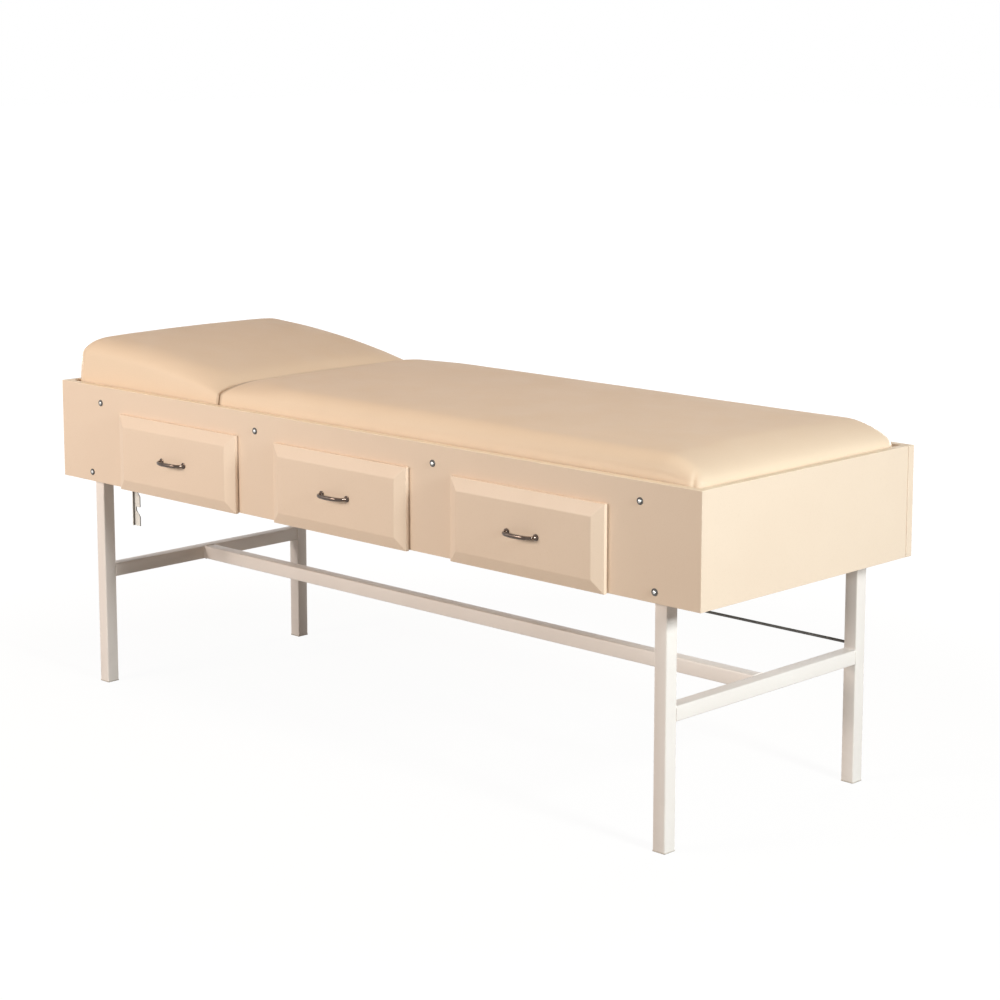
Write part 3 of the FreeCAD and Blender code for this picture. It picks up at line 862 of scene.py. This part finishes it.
def weld_bead(line, normal):
    """Rings of a painted weld: a rippled bead along a closed line of points."""
    angles = [2 * math.pi * k / bead_sides for k in range(bead_sides)]
    rings = []
    for i, p in enumerate(line):
        way = (line[(i + 1) % len(line)] - line[i - 1]).normalized()
        out = way.cross(normal).normalized()
        ripple = 1 + 0.16 * math.sin(i * 1.9) + 0.06 * math.sin(i * 0.7 + 1)
        rings.append([p + bead_r * ripple * (math.cos(a) * out + math.sin(a) * normal) for a in angles])
    return rings


def build_stand():
    """Legs, cross bars and long stretcher as rounded tube, with the welds that join them."""
    for node in ("front_left_leg", "front_right_leg", "rear_left_leg", "rear_right_leg"):
        dress(rounded_bar(node + "_tube", *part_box(node), 2), "table", "cream_tube", node)
    points = []
    faces = []
    for node, axis in (("head_cross_bar", 1), ("foot_cross_bar", 1), ("long_stretcher", 0)):
        low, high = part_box(node)
        dress(rounded_bar(node + "_tube", low, high, axis), "table", "cream_tube", node)
        for along in (low[axis], high[axis]):
            bead = weld_bead(bar_outline(low, high, axis, along), placed(axis, 1, 0, 0))
            add_rings(points, faces, bead, closed=True)
    dress(mesh_object("frame_welds", points, faces), "table", "cream_tube")


# Handles

def bow_stations(half):
    """Sections along a bow pull from foot to foot: place, direction, half height and half thickness."""
    out = Vector((0, -1, 0))
    a_little = 0.004

    def along(a):
        c = math.cos(a)
        s = math.sin(a)
        x = math.copysign(half * abs(c) ** bow_power, c)
        return Vector((x, -math.copysign(bow_depth * abs(s) ** bow_power, s), 0))

    first_foot = [(Vector((half, -d, 0)), out, r, r) for d, r in handle_foot]
    bow = []
    for i in range(bow_foot_steps, bow_steps - bow_foot_steps + 1):
        a = math.pi * i / bow_steps
        way = (along(a + a_little) - along(a - a_little)).normalized()
        fat = math.sin(a) ** 2
        bow.append((along(a), way, bow_tall + bow_swell_tall * fat, bow_thick + bow_swell_thick * fat))
    last_foot = [(Vector((-half, -d, 0)), -out, r, r) for d, r in reversed(handle_foot)]
    return first_foot + bow + last_foot


def build_handle(name):
    """Bow pull: an oval bar along a squared bow, swelling to the middle, on two flared, rimmed feet."""
    low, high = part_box(name + "_drawer_handle")
    up = Vector((0, 0, 1))
    origin = Vector(((low.x + high.x) / 2, high.y, (low.z + high.z) / 2))
    half = (high.x - low.x) / 2 - handle_foot[0][1]
    angles = [2 * math.pi * k / handle_sides for k in range(handle_sides)]
    rings = []
    for place, way, tall, thick in bow_stations(half):
        side = way.cross(up).normalized() * thick
        centre = origin + place
        rings.append([centre + up * tall * math.cos(a) + side * math.sin(a) for a in angles])
    points = []
    faces = []
    add_rings(points, faces, rings)
    obj = mesh_object(name + "_bow_handle", points, faces)
    shade_by_angle(obj, 50)
    dress(obj, name + "_drawer", "dark_nickel", name + "_drawer_handle")


# Panel screws

def screw_places():
    """Where screws hold the long panels: a row along the rails and one low at each leg."""
    row = [(row_reach * (2 * i / (row_screws - 1) - 1), row_z) for i in range(row_screws)]
    return row + [(-leg_screw_x, leg_screw_z), (leg_screw_x, leg_screw_z)]


def circle(x, y, z, radii):
    """Ring of points across Y about a centre, with a radius for each."""
    angles = [2 * math.pi * k / len(radii) for k in range(len(radii))]
    return [(x + r * math.cos(a), y, z + r * math.sin(a)) for a, r in zip(angles, radii)]


def cross_recess(turn):
    """Radii of a cross recess turned by an angle."""
    radii = []
    for k in range(screw_sides):
        a = 2 * math.pi * k / screw_sides - turn
        arm = max(abs(math.cos(a)), abs(math.sin(a)))
        radii.append(recess_arm if arm > recess_arm_cosine else recess_core)
    return radii


def build_screws():
    """Pan-head screws, each turned a little differently, in cup washers with a rolled rim, coloured dark as
    painted shade round the heads.
    """
    screws = [[], []]
    cups = [[], []]
    head_top = screw_profile[-1][1]
    for y, out in ((front_low.y, -1), (rear_high.y, 1)):
        for number, (x, z) in enumerate(screw_places()):
            cup = [circle(x, y + out * rise, z, [r] * screw_sides) for r, rise in cup_profile]
            add_rings(*cups, cup, closed=True)
            recess = cross_recess(screw_turn_first + screw_turn_step * number)
            levels = [([r] * screw_sides, rise) for r, rise in screw_profile]
            levels += [(recess, head_top), (recess, head_top - recess_depth)]
            add_rings(*screws, [circle(x, y + out * rise, z, radii) for radii, rise in levels])
    # The cup washers take the dark rod paint as painted shade round the screw heads
    dress(mesh_object("screw_cups", *cups), "table", "dark_rod")
    obj = mesh_object("panel_screws", *screws)
    shade_by_angle(obj, 35)
    dress(obj, "table", "zinc_steel")


# Solids that stay

def paint_solids():
    """Materials of the solids by their slots; the struts have a plate of their own."""
    slot_of = {row["node"]: row["material_slot"] for row in frame["record"]["subparts"]}
    own = dict.fromkeys(("front_strut", "rear_strut"), strut_plate())
    for node, obj in nodes.items():
        obj.data.materials.clear()
        obj.data.materials.append(own.get(node, paints[slot_of[node]]))


def ease_solids():
    """Broken edges of boards, drawer boxes, sheet metal and plugs."""
    boards = ["front_panel", "rear_panel", "foot_end_panel", "head_end_panel", "main_board", "head_board"]
    sheets = ["front_strut", "rear_strut", "strut_brackets", "hinge_arms", "hinge_ears", "corner_brackets"]
    boxes = ["bay_dividers"]
    for drawer in drawer_names:
        boards.append(drawer + "_drawer_front")
        boxes += [drawer + kind for kind in ("_drawer_sides", "_drawer_back", "_drawer_bottom")]
    edges = ((boards, board_edge), (boxes, box_edge), (sheets, sheet_edge), (["foot_plugs"], plug_edge))
    for eased, width in edges:
        for node in eased:
            ease_edges(node, width)


# Floor, light and camera

def build_world():
    """White where it is seen, and a low even light on the object."""
    scene.world = bpy.data.worlds.new("studio")
    scene.world.use_nodes = True
    g = Graph(scene.world.node_tree)
    g.tree.nodes.clear()
    dim = g.glow("ShaderNodeBackground", (1.0, 0.97, 0.94), 0.03)
    white = g.glow("ShaderNodeBackground", (1, 1, 1), 1.0)
    g.show_mix("ShaderNodeOutputWorld", g.shown_rays(), dim, white)


def build_floor():
    """Pale floor: white where it is seen, with a faint shadow under the table."""
    side = 30.0
    corners = [(-side, -side, 0), (side, -side, 0), (side, side, 0), (-side, side, 0)]
    obj = mesh_object("floor", corners, [[0, 1, 2, 3]], smooth=False)
    material = bpy.data.materials.new("pale_floor")
    material.use_nodes = True
    g = Graph(material.node_tree)
    g.tree.nodes.clear()
    matte = g.add("ShaderNodeBsdfDiffuse")
    matte.inputs["Color"].default_value = (0.42, 0.40, 0.37, 1)
    white = g.glow("ShaderNodeEmission", (1, 1, 1), 1.125)
    far = g.add("ShaderNodeVectorMath", operation="LENGTH")
    g.feed(far.inputs[0], g.add("ShaderNodeTexCoord").outputs["Object"])
    white_share = g.remap(far.outputs["Value"], 1.2, 4.0, 0.84, 1.0)
    seen_share = g.sums("MULTIPLY", g.shown_rays(), white_share)
    g.show_mix("ShaderNodeOutputMaterial", seen_share, matte.outputs[0], white)
    obj.data.materials.append(material)


def lamp(name, place, aim, size, power, color):
    """Soft rectangular lamp pointed at a place."""
    data = bpy.data.lights.new(name, "AREA")
    data.shape = "RECTANGLE"
    data.size, data.size_y = size
    data.energy = power
    data.color = color
    obj = bpy.data.objects.new(name, data)
    scene.collection.objects.link(obj)
    obj.location = place
    obj.rotation_mode = "QUATERNION"
    obj.rotation_quaternion = (Vector(aim) - Vector(place)).to_track_quat("-Z", "Y")


def build_lamps():
    """Cool key light on the foot end, warm front and top light, and low lamps behind for the far legs."""
    white = (1.0, 1.0, 1.0)
    cool = (0.89, 0.98, 1.0)
    warm = (1.0, 0.922, 0.845)
    amber = (1.0, 0.60, 0.28)
    pale = (1.0, 0.985, 0.965)
    lamp("key", (5.2, -0.60, 2.4), aim=(0.6, -0.2, 0.55), size=(0.8, 1.2), power=255, color=cool)
    lamp("front", (-1.3, -3.7, 1.7), aim=(0.1, -0.3, 0.55), size=(1.6, 1.2), power=97, color=warm)
    lamp("near", (-1.7, -2.0, 1.0), aim=(0.0, -0.3, 0.55), size=(1.0, 1.0), power=5, color=white)
    lamp("top", (0.0, 0.0, 3.2), aim=(0.0, 0.0, 0.7), size=(2.6, 1.8), power=18, color=amber)
    lamp("back", (-0.4, 4.2, 0.62), aim=(0.0, 0.3, 0.5), size=(2.4, 0.6), power=80, color=pale)
    lamp("head", (-4.2, 0.8, 0.62), aim=(-0.9, 0.0, 0.5), size=(1.6, 0.6), power=50, color=pale)


def build_camera():
    """Camera at the photograph's view."""
    pitch_down = 9.024
    heading = 44.102
    data = bpy.data.cameras.new("camera")
    data.sensor_width = 36.0
    data.lens = 87.94
    data.shift_y = -0.10
    obj = bpy.data.objects.new("camera", data)
    scene.collection.objects.link(obj)
    obj.location = (3.6401, -3.5925, 1.5334)
    obj.rotation_euler = (math.radians(90 - pitch_down), 0, math.radians(heading))
    scene.camera = obj


build_pads()
build_stand()
for drawer in drawer_names:
    build_handle(drawer)
build_screws()
paint_solids()
ease_solids()
build_world()
build_floor()
build_lamps()
build_camera()

scene.view_settings.view_transform = "Standard"
